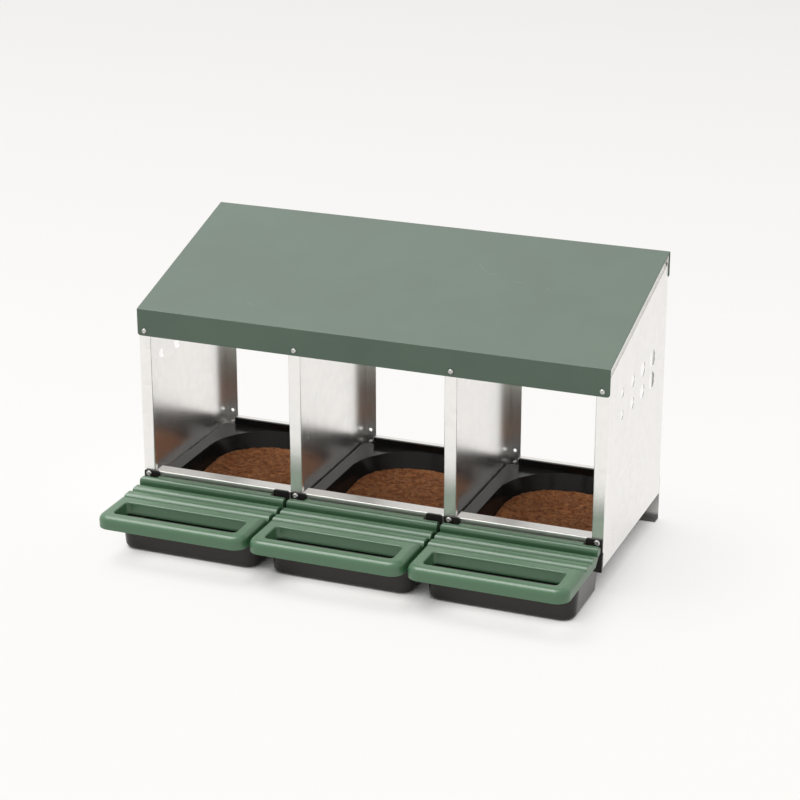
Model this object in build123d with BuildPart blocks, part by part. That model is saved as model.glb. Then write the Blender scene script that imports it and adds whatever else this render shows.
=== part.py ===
"""Three-place roll-away nest box: folded sheet frame, moulded trays, coir pads and hinged perch lids."""

import os
from math import atan2, cos, radians, sin, tan

from build123d import *

# Row of nests and folded sheet work
NESTS = 3                   # nesting places side by side
PITCH = 312.0               # from one upright's web to the next
FRAME_DEPTH = 378.0         # uprights, front face to rear face
SHEET = 1.0                 # thickness of all sheet work
FOLD = 1.5                  # middle-line radius of every fold
FLANGE = 24.0               # width of the uprights' flanges
LIP = 10.0                  # return lip on the front flanges
WEB_BOTTOM = 56.0           # lower edge of the webs above the floor
FLANGE_BOTTOM = 85.0        # lower end of the front flanges
FLANGE_HOLE = 12.3          # fastener line, from the web's outer face
WALL_HOLE = 3.5             # radius of the open wall screw holes
WALL_HOLE_HEIGHT = 102.0

# End walls
STRIP = 22.0                # height of the set-in strip under the roof
STRIP_STEP = 3.5            # how far that strip is set in
STRIP_END = 4.0             # strip ends short of the flanges
VENT_COLUMNS = 4
VENT_FIRST = 88.0           # first vent column behind the front face
VENT_SPACING = 66.3
VENT_SMALLEST = 18.0        # diameter in the first column
VENT_GROWTH = 5.6           # added from column to column
VENT_ROW = 322.5            # lower row above the floor
VENT_ROW_GAP = 44.0

# Roof
ROOF_FRONT = 440.0          # top of the front fold
ROOF_REAR = 552.0           # top of the rear fold
ROOF_FLANGE = 53.0          # height of the turned-down flanges
ROOF_OVERHANG = 2.0         # past the end walls
ROOF_CORNER = 6.0           # lower corners of the flanges
ROOF_SCREW_RISE = 10.0      # screws above the flanges' lower edge
RELIEF = 2.0                # uprights' upper corners cut back inside the folds

# Rear channel
CHANNEL_HEIGHT = 92.0
CHANNEL_FLANGE = 22.0
CHANNEL_BOLT_HEIGHT = 73.0
NOTCH_GAP = 1.0             # around the uprights

# Front sills
SILL_TOP = 110.5
SILL_DEPTH = 30.0
SILL_LIP = 14.0             # front edge turned down
SILL_HEM = 8.0              # rear edge turned down
SILL_GAP = 1.0              # beside the flange lips
SILL_TAB = 20.0             # end tab along the web
SILL_TAB_DEPTH = 16.0

# Nest trays
TRAY_WALL = 2.5
TRAY_TOP = 80.0             # upper face of the tray's flange
TRAY_GAP = 4.0              # tray's flange to the web lines
TRAY_RIM = 26.0             # width of the flange beside the bowl
TRAY_CORNER = 10.0
BOWL_REAR = 352.0           # rear of the bowl behind the front face
BOWL_SHOULDER = 46.0        # height where the sloping wall turns upright
BOWL_DRAFT = 18.5           # degrees
NEST_REAR = 34.0            # nest floor at the rear of the bowl
NEST_SLOPE = 3.5            # degrees, falling to the front
UPSTAND_INSET = 28.0        # ends of the rear upstand, from the web lines
UPSTAND_THICK = 3.0
UPSTAND_CLEAR = 0.3         # around the channel's front edge
HOOK = 3.0                  # depth of the two ribs that hold the channel's edge
HOOK_THICK = 2.5
TROUGH_INSET = 16.0         # sides at the floor, from the web lines
TROUGH_REACH = 133.0        # front of the trough at the floor
TROUGH_DRAFT = 4.5          # degrees
TROUGH_CORNER = 24.0
TROUGH_REAR_CORNER = 8.0
TROUGH_EDGE = 10.0          # rounding along the floor
EAR = 4.0                   # thickness of the front ears
EAR_TOP = 111.0
EAR_END = 2.0               # outer end, from the web lines
EAR_WIDTH = 32.0
EAR_ROUND = 4.0
EAR_BOLT_HEIGHT = 104.6

# Coir pads
PAD_THICK = 14.0
PAD_GAP = 1.0               # to the bowl wall
PAD_CLEAR = 0.3             # to the nest floor
PAD_FRONT = 8.0             # front edge behind the front face
PAD_CROWN = 4.0             # fall from the middle to the sides
PAD_ROUND = 5.0

# Perch lids
LID_GAP = 3.5               # half the gap between neighbouring lids
LID_WALL = 2.8
LID_REACH = 213.0           # front of the perch frame
LID_BOTTOM = 72.0
LID_CLEAR = 0.3             # over the trough's rim, on which the lid comes to rest
LID_REAR = 5.0              # rear edge in front of the uprights
LID_FIRST_TOP = 103.0       # first tread
LID_TREAD_TOP = 94.5        # second and third tread
LID_VALLEY = 85.5
LID_FRAME_TOP = 96.5
TREAD_NOSES = (28.0, 61.0, 96.5)
FIRST_ROUND = 9.0           # nose of the first tread
TREAD_ROUND = 14.0          # noses of the lower treads
TREAD_BACK = 12.0           # rise behind each lower tread and behind the perch frame
TREAD_CROWN = 18.0          # rounding at the top of that rise
TREAD_LEAN = 6.0            # fall at its front
TREAD_END = 4.0             # rounding of the treads' ends
FRAME_BACK = 8.0            # top of that rise to the level frame
FRAME_ROUND = 12.0          # upper edges of the perch frame
FRAME_CORNER = 26.0         # front corners in plan
FRAME_SKIN = 8.0            # thickness of the frame's top
WINDOW_FRONT = 25.7         # bar in front of the window
WINDOW_SIDE = 25.7          # bars beside the window
WINDOW_REAR = 14.5          # level bar behind the window
WINDOW_CORNER = 9.0
WINDOW_ROUND = 3.0
LID_CHEEK = 4.0
LID_CUT = 16.0              # rear corners cut back to here, round the bolts
LID_CUT_SIDE = 32.0
CHEEK_SLANT = 22.0          # lower rear corner taken off
REST_OUT = 122.0            # two ribs that rest on the trough's sides
REST_WIDTH = 14.0

# Lid hinges
HINGE_OUT = 16.5            # hinge line in front of the uprights
HINGE_HEIGHT = 93.8
ROD = 2.0                   # radius of the hinge rods
ROD_CLEAR = 0.05
ROD_END = 1.2               # cheek left over beyond the rod
LUG = 4.3                   # radius of the tray's hinge lugs
LUG_THICK = 7.0
LUG_INSET = 11.0            # lugs inside the lid's ends
EYE = 7.0                   # radius of the cheeks round the rod

# Fasteners
HEAD_HEIGHT = 3.2
SCREW_HEAD = 5.0
SCREW = 2.4
SCREW_LENGTH = 11.0
BOLT_HEAD = 5.6
BOLT = 3.0
BOLT_CLEAR = 0.3
NUT_HALF = 5.0              # half the size across the flats
NUT_THICK = 5.0
RIVET = 2.0
RIVET_HEAD = 4.0
RIVET_HEIGHT = 1.2
SOCKET = 1.9                # half the size of the drive sockets

# Places derived from the sizes
HALF_ROW = PITCH * NESTS / 2
REAR_REACH = FRAME_DEPTH + SHEET + HEAD_HEIGHT
FRONT = (LID_REACH - REAR_REACH) / 2
REAR = FRONT + FRAME_DEPTH
WEBS = [PITCH * i - HALF_ROW for i in range(NESTS + 1)]
TURNS = [1] * NESTS + [-1]
HOLE_LINES = [web + turn * FLANGE_HOLE for web, turn in zip(WEBS, TURNS)]
CENTRES = [PITCH * (i + 0.5) - HALF_ROW for i in range(NESTS)]
ROOF_SLOPE = atan2(ROOF_REAR - ROOF_FRONT, FRAME_DEPTH + 2 * SHEET)
ROOF_NORMAL = (0, -sin(ROOF_SLOPE), cos(ROOF_SLOPE))
ROOF_TOP = Plane((0, FRONT - SHEET, ROOF_FRONT), x_dir=(1, 0, 0), z_dir=ROOF_NORMAL)
ROOF_UNDER = ROOF_TOP.offset(-SHEET)
FRONT_SCREW_HEIGHT = ROOF_FRONT - ROOF_FLANGE + ROOF_SCREW_RISE
REAR_SCREW_HEIGHT = ROOF_REAR - ROOF_FLANGE + ROOF_SCREW_RISE
SILL_SCREW_HEIGHT = SILL_TOP - SILL_LIP / 2
TRAY_HALF = PITCH / 2 - TRAY_GAP
BOWL_HALF = TRAY_HALF - TRAY_RIM
BOWL_CENTRE = FRONT + BOWL_REAR - BOWL_HALF
BOWL_INSET = (TRAY_TOP - BOWL_SHOULDER) * tan(radians(BOWL_DRAFT))
TILT = radians(NEST_SLOPE)
NEST_FLOOR = Plane((0, FRONT + BOWL_REAR, NEST_REAR), x_dir=(1, 0, 0), z_dir=(0, -sin(TILT), cos(TILT)))
EAR_FACE = FRONT - EAR
CHANNEL_EDGE = REAR + SHEET - CHANNEL_FLANGE
UPSTAND_REAR = CHANNEL_EDGE - UPSTAND_CLEAR
LID_HALF = PITCH / 2 - LID_GAP
LID_FRONT = FRONT - LID_REACH
WINDOW_HALF = LID_HALF - WINDOW_SIDE
FRAME_REAR = TREAD_NOSES[-1] + TREAD_BACK
FRAME_LEVEL = FRAME_REAR + FRAME_BACK
WINDOW_DEPTH = LID_REACH - WINDOW_FRONT - WINDOW_REAR - FRAME_LEVEL
HINGE_Y = FRONT - HINGE_OUT
LUG_OUTER = LID_HALF - LUG_INSET
EAR_OUTER = PITCH / 2 - EAR_END
EAR_INNER = EAR_OUTER - EAR_WIDTH
TROUGH_HALF = PITCH / 2 - TROUGH_INSET
TROUGH_RIM = LID_BOTTOM - LID_CLEAR
UPSTAND = PITCH / 2 - UPSTAND_INSET


def across_y(y):
    """Sketch plane at a depth y; sketches lie in x and z, and a positive extrusion comes forward."""
    return Plane.XZ.offset(-y)


def across_x(x):
    """Sketch plane at a distance x from the middle; sketches lie in y and z."""
    return Plane.YZ.offset(x)


def rounds_at(y, radius, points):
    """Circles in x and z at a depth y."""
    with BuildSketch(across_y(y)) as circles:
        with Locations(*points):
            Circle(radius)
    return circles.sketch


def drill(y, radius, points):
    """Cut round holes through sheet whose rear face lies at y."""
    extrude(rounds_at(y + SHEET, radius, points), amount=3 * SHEET, mode=Mode.SUBTRACT)


def roof_under_height(y):
    """Height of the roof's under face at a depth y."""
    return ROOF_FRONT + (y - FRONT + SHEET) * tan(ROOF_SLOPE) - SHEET / cos(ROOF_SLOPE)


def upright(web, turn, end_wall, tab):
    """One folded upright: web, front flange with its lip, rear flange; end walls have a strip and vents."""
    middle = web + turn * SHEET / 2
    edge = web + turn * (FLANGE - SHEET / 2)
    hole = web + turn * FLANGE_HOLE
    with BuildPart() as sheet:
        with BuildSketch(Plane.XY.offset(WEB_BOTTOM)):
            with BuildLine():
                FilletPolyline(
                    (edge, FRONT + LIP),
                    (edge, FRONT + SHEET / 2),
                    (middle, FRONT + SHEET / 2),
                    (middle, REAR - SHEET / 2),
                    (web + turn * FLANGE, REAR - SHEET / 2),
                    radius=FOLD,
                )
            trace(line_width=SHEET)
        extrude(amount=ROOF_REAR - WEB_BOTTOM)
        split(bisect_by=ROOF_UNDER, keep=Keep.BOTTOM)
        with BuildSketch(across_x(web)):
            with Locations((FRONT, roof_under_height(FRONT) - RELIEF)):
                Rectangle(2 * RELIEF, 3 * RELIEF, align=(Align.CENTER, Align.MIN))
            with Locations((REAR, roof_under_height(REAR) - RELIEF)):
                Rectangle(2 * RELIEF, 3 * RELIEF, align=(Align.CENTER, Align.MIN))
        extrude(amount=2 * FLANGE, both=True, mode=Mode.SUBTRACT)
        with BuildSketch(Plane.XY.offset(WEB_BOTTOM)):
            with Locations((web + turn * (SHEET + FLANGE / 2), FRONT + LIP / 2)):
                Rectangle(FLANGE, LIP + 2 * SHEET)
        extrude(amount=FLANGE_BOTTOM - WEB_BOTTOM, mode=Mode.SUBTRACT)
        drill(FRONT + SHEET, SCREW + BOLT_CLEAR / 3, [(hole, FRONT_SCREW_HEIGHT)])
        drill(FRONT + SHEET, BOLT + BOLT_CLEAR, [(hole, EAR_BOLT_HEIGHT)])
        drill(REAR, SCREW + BOLT_CLEAR / 3, [(hole, REAR_SCREW_HEIGHT)])
        drill(REAR, BOLT + BOLT_CLEAR, [(hole, CHANNEL_BOLT_HEIGHT)])
        drill(REAR, WALL_HOLE, [(hole, WALL_HOLE_HEIGHT)])
        if tab:
            with BuildSketch(across_x(web - SHEET)):
                with Locations((FRONT + SILL_DEPTH / 2, SILL_TOP - SILL_TAB / 2)):
                    Circle(RIVET + ROD_CLEAR)
            extrude(amount=3 * SHEET, mode=Mode.SUBTRACT)
        if end_wall:
            first = FRONT + STRIP_END
            last = REAR - STRIP_END
            upper = [(last, roof_under_height(last)), (first, roof_under_height(first))]
            lower = [(first, roof_under_height(first) - STRIP), (last, roof_under_height(last) - STRIP)]
            ledge = [(y, z + SHEET) for y, z in reversed(lower)]
            with BuildSketch(across_x(web - turn * SHEET)):
                Polygon(*lower, *upper, align=None)
            extrude(amount=turn * 3 * SHEET, mode=Mode.SUBTRACT)
            with BuildSketch(across_x(web + turn * STRIP_STEP)):
                Polygon(*lower, *upper, align=None)
            extrude(amount=turn * SHEET)
            with BuildSketch(across_x(web)):
                Polygon(*lower, *ledge, align=None)
            extrude(amount=turn * (STRIP_STEP + SHEET))
            with BuildSketch(across_x(web - turn * SHEET)):
                for column in range(VENT_COLUMNS):
                    y = FRONT + VENT_FIRST + column * VENT_SPACING
                    with Locations((y, VENT_ROW), (y, VENT_ROW + VENT_ROW_GAP)):
                        Circle((VENT_SMALLEST + column * VENT_GROWTH) / 2)
            extrude(amount=turn * 3 * SHEET, mode=Mode.SUBTRACT)
    return sheet.part


def sill(left, right, tab):
    """Folded strip across one opening; a tab goes down beside the web where there is one."""
    with BuildPart() as strip:
        with BuildSketch(across_x(left)):
            with BuildLine():
                FilletPolyline(
                    (FRONT + SHEET / 2, SILL_TOP - SILL_LIP),
                    (FRONT + SHEET / 2, SILL_TOP - SHEET / 2),
                    (FRONT + SILL_DEPTH - SHEET / 2, SILL_TOP - SHEET / 2),
                    (FRONT + SILL_DEPTH - SHEET / 2, SILL_TOP - SILL_HEM),
                    radius=FOLD,
                )
            trace(line_width=SHEET)
        extrude(amount=right - left)
        if tab:
            with BuildSketch(across_x(right)):
                with Locations((FRONT + SILL_DEPTH / 2, SILL_TOP - SHEET / 2)):
                    Rectangle(SILL_TAB_DEPTH, SILL_TAB, align=(Align.CENTER, Align.MAX))
                with Locations((FRONT + SILL_DEPTH / 2, SILL_TOP - SILL_TAB / 2)):
                    Circle(RIVET + ROD_CLEAR, mode=Mode.SUBTRACT)
            extrude(amount=-SHEET)
    return strip.part


def horseshoe(half, front, height):
    """Level face with straight sides and a half-round rear end."""
    middle = half * sin(radians(45))
    with BuildSketch(Plane.XY.offset(height)) as face:
        with BuildLine():
            Line((half, front), (half, BOWL_CENTRE))
            ThreePointArc((half, BOWL_CENTRE), (middle, BOWL_CENTRE + middle), (0, BOWL_CENTRE + half))
            ThreePointArc((0, BOWL_CENTRE + half), (-middle, BOWL_CENTRE + middle), (-half, BOWL_CENTRE))
            Line((-half, BOWL_CENTRE), (-half, front))
            Line((-half, front), (half, front))
        make_face()
    return face.sketch


def bowl(grow, floor, front):
    """Horseshoe bowl: wall leaning in from the flange, upright below the shoulder, sloping floor."""
    ahead = front - 2 * TRAY_TOP
    with BuildPart() as shape:
        rim = horseshoe(BOWL_HALF + grow, ahead, TRAY_TOP)
        extrude(rim, amount=-(TRAY_TOP - BOWL_SHOULDER), taper=BOWL_DRAFT)
        shoulder = horseshoe(BOWL_HALF + grow - BOWL_INSET, ahead + BOWL_INSET, BOWL_SHOULDER)
        extrude(shoulder, amount=-TRAY_TOP)
        split(bisect_by=floor, keep=Keep.TOP)
        split(bisect_by=across_y(front), keep=Keep.BOTTOM)
    return shape.part


def trough(inset):
    """Egg trough, drafted, with rounded corners and a rounded lower edge."""
    half = TROUGH_HALF - inset
    length = TROUGH_REACH - 2 * inset
    with BuildPart() as shape:
        with BuildSketch(Plane.XY.offset(inset)):
            with Locations((0, FRONT - inset)):
                outline = Rectangle(2 * half, length, align=(Align.CENTER, Align.MAX))
            corners = outline.vertices().group_by(Axis.Y)
            fillet(corners[0], radius=TROUGH_CORNER - inset)
            fillet(corners[-1], radius=TROUGH_REAR_CORNER - inset)
        extrude(amount=TROUGH_RIM - inset, taper=-TROUGH_DRAFT)
        fillet(shape.faces().sort_by(Axis.Z)[0].edges(), radius=TROUGH_EDGE - inset)
    return shape.part


def fasteners(points, seat, facing, head, shank, length):
    """Screws or bolts at points in x and z; facing 1 has the heads in front of the seat, -1 behind it."""
    with BuildPart() as group:
        with BuildSketch(across_y(seat)):
            with Locations(*points):
                Circle(head)
        extrude(amount=facing * HEAD_HEIGHT)
        tops = group.faces().filter_by(Axis.Y).group_by(Axis.Y)[0 if facing > 0 else -1]
        chamfer(tops.edges(), length=HEAD_HEIGHT / 2)
        with BuildSketch(across_y(seat - facing * HEAD_HEIGHT)):
            with Locations(*points):
                RegularPolygon(SOCKET, 6)
        extrude(amount=-facing * HEAD_HEIGHT / 2, mode=Mode.SUBTRACT)
        with BuildSketch(across_y(seat)):
            with Locations(*points):
                Circle(shank)
        extrude(amount=-facing * length)
    return group.part


def nuts(points, seat, facing):
    """Hexagon nuts standing on the seat."""
    with BuildPart() as group:
        with BuildSketch(across_y(seat)):
            with Locations(*points):
                RegularPolygon(NUT_HALF, 6, major_radius=False)
                Circle(BOLT + ROD_CLEAR, mode=Mode.SUBTRACT)
        extrude(amount=facing * NUT_THICK)
    return group.part


def tread_line():
    """Outline of the stepped part of the lid, with the radius of each corner."""
    first, second, third = TREAD_NOSES
    line = [(LID_REAR, LID_BOTTOM, 0), (LID_REAR, LID_FIRST_TOP, LID_WALL / 2)]
    line += [(first, LID_FIRST_TOP, FIRST_ROUND), (first, LID_VALLEY, LID_WALL / 3)]
    for rear, front in ((first, second), (second, third)):
        line += [(rear + TREAD_BACK, LID_TREAD_TOP, TREAD_CROWN)]
        line += [(front - TREAD_LEAN, LID_TREAD_TOP, TREAD_ROUND)]
        line += [(front, LID_VALLEY, LID_WALL / 3)]
    line += [(FRAME_REAR, LID_FRAME_TOP, TREAD_CROWN)]
    line += [(FRAME_LEVEL, LID_FRAME_TOP, 0), (FRAME_LEVEL, LID_BOTTOM, 0)]
    return [(FRONT - out, height) for out, height, turn in line], [turn for out, height, turn in line]


def tread_space():
    """Outline of the hollow under the treads, open below and to the rear."""
    first, second, third = TREAD_NOSES
    end = FRAME_LEVEL + LID_WALL
    first_under = LID_FIRST_TOP - LID_WALL
    tread_under = LID_TREAD_TOP - LID_WALL
    valley_under = LID_VALLEY - LID_WALL
    frame_under = LID_FRAME_TOP - FRAME_SKIN
    line = [(0, LID_BOTTOM), (0, first_under), (first - 2 * LID_WALL, first_under)]
    line += [(first - LID_WALL, first_under - LID_WALL), (first - LID_WALL, valley_under)]
    for rear, front in ((first, second), (second, third)):
        line += [(rear + LID_WALL / 2, valley_under), (rear + TREAD_BACK + LID_WALL / 2, tread_under)]
        line += [(front - TREAD_LEAN - LID_WALL * 3 / 2, tread_under), (front - LID_WALL, valley_under)]
    line += [(third + LID_WALL / 2, valley_under), (FRAME_REAR + LID_WALL / 2, frame_under)]
    line += [(end, frame_under), (end, LID_BOTTOM)]
    return [(FRONT - out, height) for out, height in line]


def end_waste(top, radius, rear, front):
    """What lies outside the rounded ends of the lid between two distances from the uprights."""
    with BuildPart() as waste:
        for side in (-1, 1):
            with BuildSketch(across_y(FRONT - rear)):
                with Locations((side * LID_HALF, top)):
                    Rectangle(2 * radius, 2 * radius)
                with Locations((side * (LID_HALF - radius), top - radius)):
                    Circle(radius, mode=Mode.SUBTRACT)
            extrude(amount=front - rear)
    return waste.part


os.makedirs("parts", exist_ok=True)
pieces = {}

# Uprights
walls = ["left_end_wall"] + [f"partition_{i}" for i in range(1, NESTS)] + ["right_end_wall"]
for i, name in enumerate(walls):
    is_end = i in (0, NESTS)
    pieces[name] = upright(WEBS[i], TURNS[i], is_end, not is_end)

# Roof
with BuildPart() as roof:
    half = HALF_ROW + ROOF_OVERHANG
    front_fold = ROOF_FRONT + SHEET / 2 * tan(ROOF_SLOPE) - SHEET / 2 / cos(ROOF_SLOPE)
    rear_fold = ROOF_REAR - SHEET / 2 * tan(ROOF_SLOPE) - SHEET / 2 / cos(ROOF_SLOPE)
    with BuildSketch(across_x(-half)):
        with BuildLine():
            FilletPolyline(
                (FRONT - SHEET / 2, ROOF_FRONT - ROOF_FLANGE),
                (FRONT - SHEET / 2, front_fold),
                (REAR + SHEET / 2, rear_fold),
                (REAR + SHEET / 2, ROOF_REAR - ROOF_FLANGE),
                radius=FOLD,
            )
        trace(line_width=SHEET)
    extrude(amount=2 * half)
    fillet(roof.edges().filter_by(Axis.Y), radius=ROOF_CORNER)
    drill(FRONT, SCREW + BOLT_CLEAR / 3, [(x, FRONT_SCREW_HEIGHT) for x in HOLE_LINES])
    drill(REAR + SHEET, SCREW + BOLT_CLEAR / 3, [(x, REAR_SCREW_HEIGHT) for x in HOLE_LINES])
pieces["roof"] = roof.part

# Rear channel
with BuildPart() as rear_channel:
    with BuildSketch(across_x(-HALF_ROW)):
        with BuildLine():
            FilletPolyline(
                (CHANNEL_EDGE, SHEET / 2),
                (REAR + SHEET / 2, SHEET / 2),
                (REAR + SHEET / 2, CHANNEL_HEIGHT - SHEET / 2),
                (CHANNEL_EDGE, CHANNEL_HEIGHT - SHEET / 2),
                radius=FOLD,
            )
        trace(line_width=SHEET)
    extrude(amount=2 * HALF_ROW)
    with BuildSketch(Plane.XY.offset(CHANNEL_HEIGHT - 2 * FOLD)):
        for web, turn in zip(WEBS, TURNS):
            with Locations((web + turn * FLANGE / 2, REAR)):
                Rectangle(FLANGE + 2 * NOTCH_GAP, CHANNEL_FLANGE + SHEET, align=(Align.CENTER, Align.MAX))
    extrude(amount=3 * FOLD, mode=Mode.SUBTRACT)
    drill(REAR + SHEET, BOLT + BOLT_CLEAR, [(x, CHANNEL_BOLT_HEIGHT) for x in HOLE_LINES])
pieces["rear_channel"] = rear_channel.part

# Front sills, with holes for the screws that join them to the tray ears
sill_points = []
for i in range(NESTS):
    against_web = TURNS[i + 1] > 0
    right_end = WEBS[i + 1] if against_web else WEBS[i + 1] - FLANGE - SILL_GAP
    reach = (EAR_INNER + PITCH / 2 - FLANGE) / 2
    points = [(CENTRES[i] + side * reach, SILL_SCREW_HEIGHT) for side in (-1, 1)]
    sill_points += points
    with BuildPart() as front_sill:
        add(sill(WEBS[i] + FLANGE + SILL_GAP, right_end, against_web))
        drill(FRONT + SHEET, RIVET + ROD_CLEAR, points)
    pieces[f"front_sill_{i + 1}"] = front_sill.part

# Nest tray
bowl_body = bowl(TRAY_WALL, NEST_FLOOR.offset(-TRAY_WALL), EAR_FACE)
bowl_space = bowl(0, NEST_FLOOR, EAR_FACE - EAR)
trough_body = trough(0)
trough_space = trough(TRAY_WALL)
with BuildPart() as tray:
    with BuildSketch(Plane.XY.offset(TRAY_TOP - TRAY_WALL)):
        with Locations((0, EAR_FACE)):
            plate = Rectangle(2 * TRAY_HALF, UPSTAND_REAR - EAR_FACE, align=(Align.CENTER, Align.MIN))
        fillet(plate.vertices().group_by(Axis.Y)[-1], radius=TRAY_CORNER)
    extrude(amount=TRAY_WALL)
    add(bowl_body)
    add(trough_body)
    with BuildSketch(across_y(FRONT)):
        for side in (-1, 1):
            with Locations((side * (EAR_INNER + EAR_OUTER) / 2, EAR_TOP)):
                ear = Rectangle(EAR_WIDTH, EAR_TOP - BOWL_SHOULDER, align=(Align.CENTER, Align.MAX))
            fillet(ear.vertices().group_by(Axis.Y)[-1], radius=EAR_ROUND)
    extrude(amount=EAR)
    for side in (-1, 1):
        with BuildSketch(across_x(side * LUG_OUTER)):
            with Locations((HINGE_Y, HINGE_HEIGHT)):
                Circle(LUG)
            Polygon(
                (HINGE_Y - LUG, HINGE_HEIGHT),
                (HINGE_Y - LUG, TRAY_TOP - TRAY_WALL),
                (EAR_FACE, LID_BOTTOM),
                (EAR_FACE, TRAY_TOP),
                (HINGE_Y + LUG, TRAY_TOP),
                (HINGE_Y + LUG, HINGE_HEIGHT),
                align=None,
            )
            with Locations((HINGE_Y, HINGE_HEIGHT)):
                Circle(ROD + ROD_CLEAR, mode=Mode.SUBTRACT)
        extrude(amount=-side * LUG_THICK)
    upstand_height = CHANNEL_HEIGHT + HOOK_THICK + TRAY_WALL - TRAY_TOP
    with BuildSketch(across_y(UPSTAND_REAR)):
        with Locations((0, TRAY_TOP - TRAY_WALL)):
            Rectangle(2 * UPSTAND, upstand_height, align=(Align.CENTER, Align.MIN))
    extrude(amount=UPSTAND_THICK)
    with BuildSketch(across_y(UPSTAND_REAR)):
        with Locations((0, CHANNEL_HEIGHT + UPSTAND_CLEAR)):
            Rectangle(2 * UPSTAND, HOOK_THICK - UPSTAND_CLEAR, align=(Align.CENTER, Align.MIN))
        with Locations((0, CHANNEL_HEIGHT - SHEET - UPSTAND_CLEAR)):
            Rectangle(2 * UPSTAND, HOOK_THICK, align=(Align.CENTER, Align.MAX))
    extrude(amount=-HOOK)
    add(bowl_space, mode=Mode.SUBTRACT)
    add(trough_space, mode=Mode.SUBTRACT)
    with BuildSketch(across_y(FRONT)):
        with Locations((-reach, SILL_SCREW_HEIGHT), (reach, SILL_SCREW_HEIGHT)):
            Circle(RIVET + ROD_CLEAR)
    extrude(amount=EAR - SHEET, mode=Mode.SUBTRACT)

# Coir pad, slightly crowned, with a soft upper edge
with BuildPart() as pad:
    pad_half = BOWL_HALF - BOWL_INSET - PAD_GAP
    extrude(horseshoe(pad_half, FRONT + PAD_FRONT, 0), amount=TRAY_TOP)
    split(bisect_by=NEST_FLOOR.offset(PAD_CLEAR), keep=Keep.TOP)
    crown = (pad_half ** 2 + PAD_CROWN ** 2) / (2 * PAD_CROWN)
    crown_middle = NEST_FLOOR.offset(PAD_CLEAR + PAD_THICK - crown).origin
    with BuildSketch(Plane(crown_middle, x_dir=(1, 0, 0), z_dir=NEST_FLOOR.y_dir)):
        Circle(crown)
    extrude(amount=2 * FRAME_DEPTH, both=True, mode=Mode.INTERSECT)
    fillet(pad.faces().sort_by(Axis.Z)[-1].edges(), radius=PAD_ROUND)

# Perch lid
outline, rounds = tread_line()
window_front = LID_FRONT + WINDOW_FRONT
window_rear = window_front + WINDOW_DEPTH
with BuildPart() as perch_frame:
    with BuildSketch(Plane.XY.offset(LID_BOTTOM)):
        with Locations((0, LID_FRONT)):
            depth = LID_REACH - FRAME_LEVEL
            outer = Rectangle(2 * LID_HALF, depth, align=(Align.CENTER, Align.MIN))
        fillet(outer.vertices().group_by(Axis.Y)[0], radius=FRAME_CORNER)
    extrude(amount=LID_FRAME_TOP - LID_BOTTOM)
    upper_edges = perch_frame.faces().sort_by(Axis.Z)[-1].edges().sort_by(Axis.Y)[:-1]
    fillet(upper_edges, radius=FRAME_ROUND)
    with BuildSketch(Plane.XY.offset(LID_FRAME_TOP)):
        with Locations((0, (window_front + window_rear) / 2)):
            RectangleRounded(2 * WINDOW_HALF, WINDOW_DEPTH, WINDOW_CORNER)
    extrude(amount=LID_BOTTOM - LID_FRAME_TOP, mode=Mode.SUBTRACT)
    fillet(perch_frame.faces().sort_by(Axis.Z)[-1].inner_wires()[0].edges(), radius=WINDOW_ROUND)

with BuildPart() as frame_space:
    skin_half = LID_HALF - LID_WALL
    with BuildSketch(Plane.XY.offset(LID_BOTTOM - LID_WALL)):
        with Locations((0, LID_FRONT + LID_WALL)):
            inner = Rectangle(2 * skin_half, depth - LID_WALL, align=(Align.CENTER, Align.MIN))
        fillet(inner.vertices().group_by(Axis.Y)[0], radius=FRAME_CORNER - LID_WALL)
        with Locations((0, (window_front + window_rear) / 2)):
            RectangleRounded(
                2 * (WINDOW_HALF + LID_WALL),
                WINDOW_DEPTH + 2 * LID_WALL,
                WINDOW_CORNER + LID_WALL,
                mode=Mode.SUBTRACT,
            )
    extrude(amount=LID_FRAME_TOP - FRAME_SKIN - LID_BOTTOM + LID_WALL)

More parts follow.
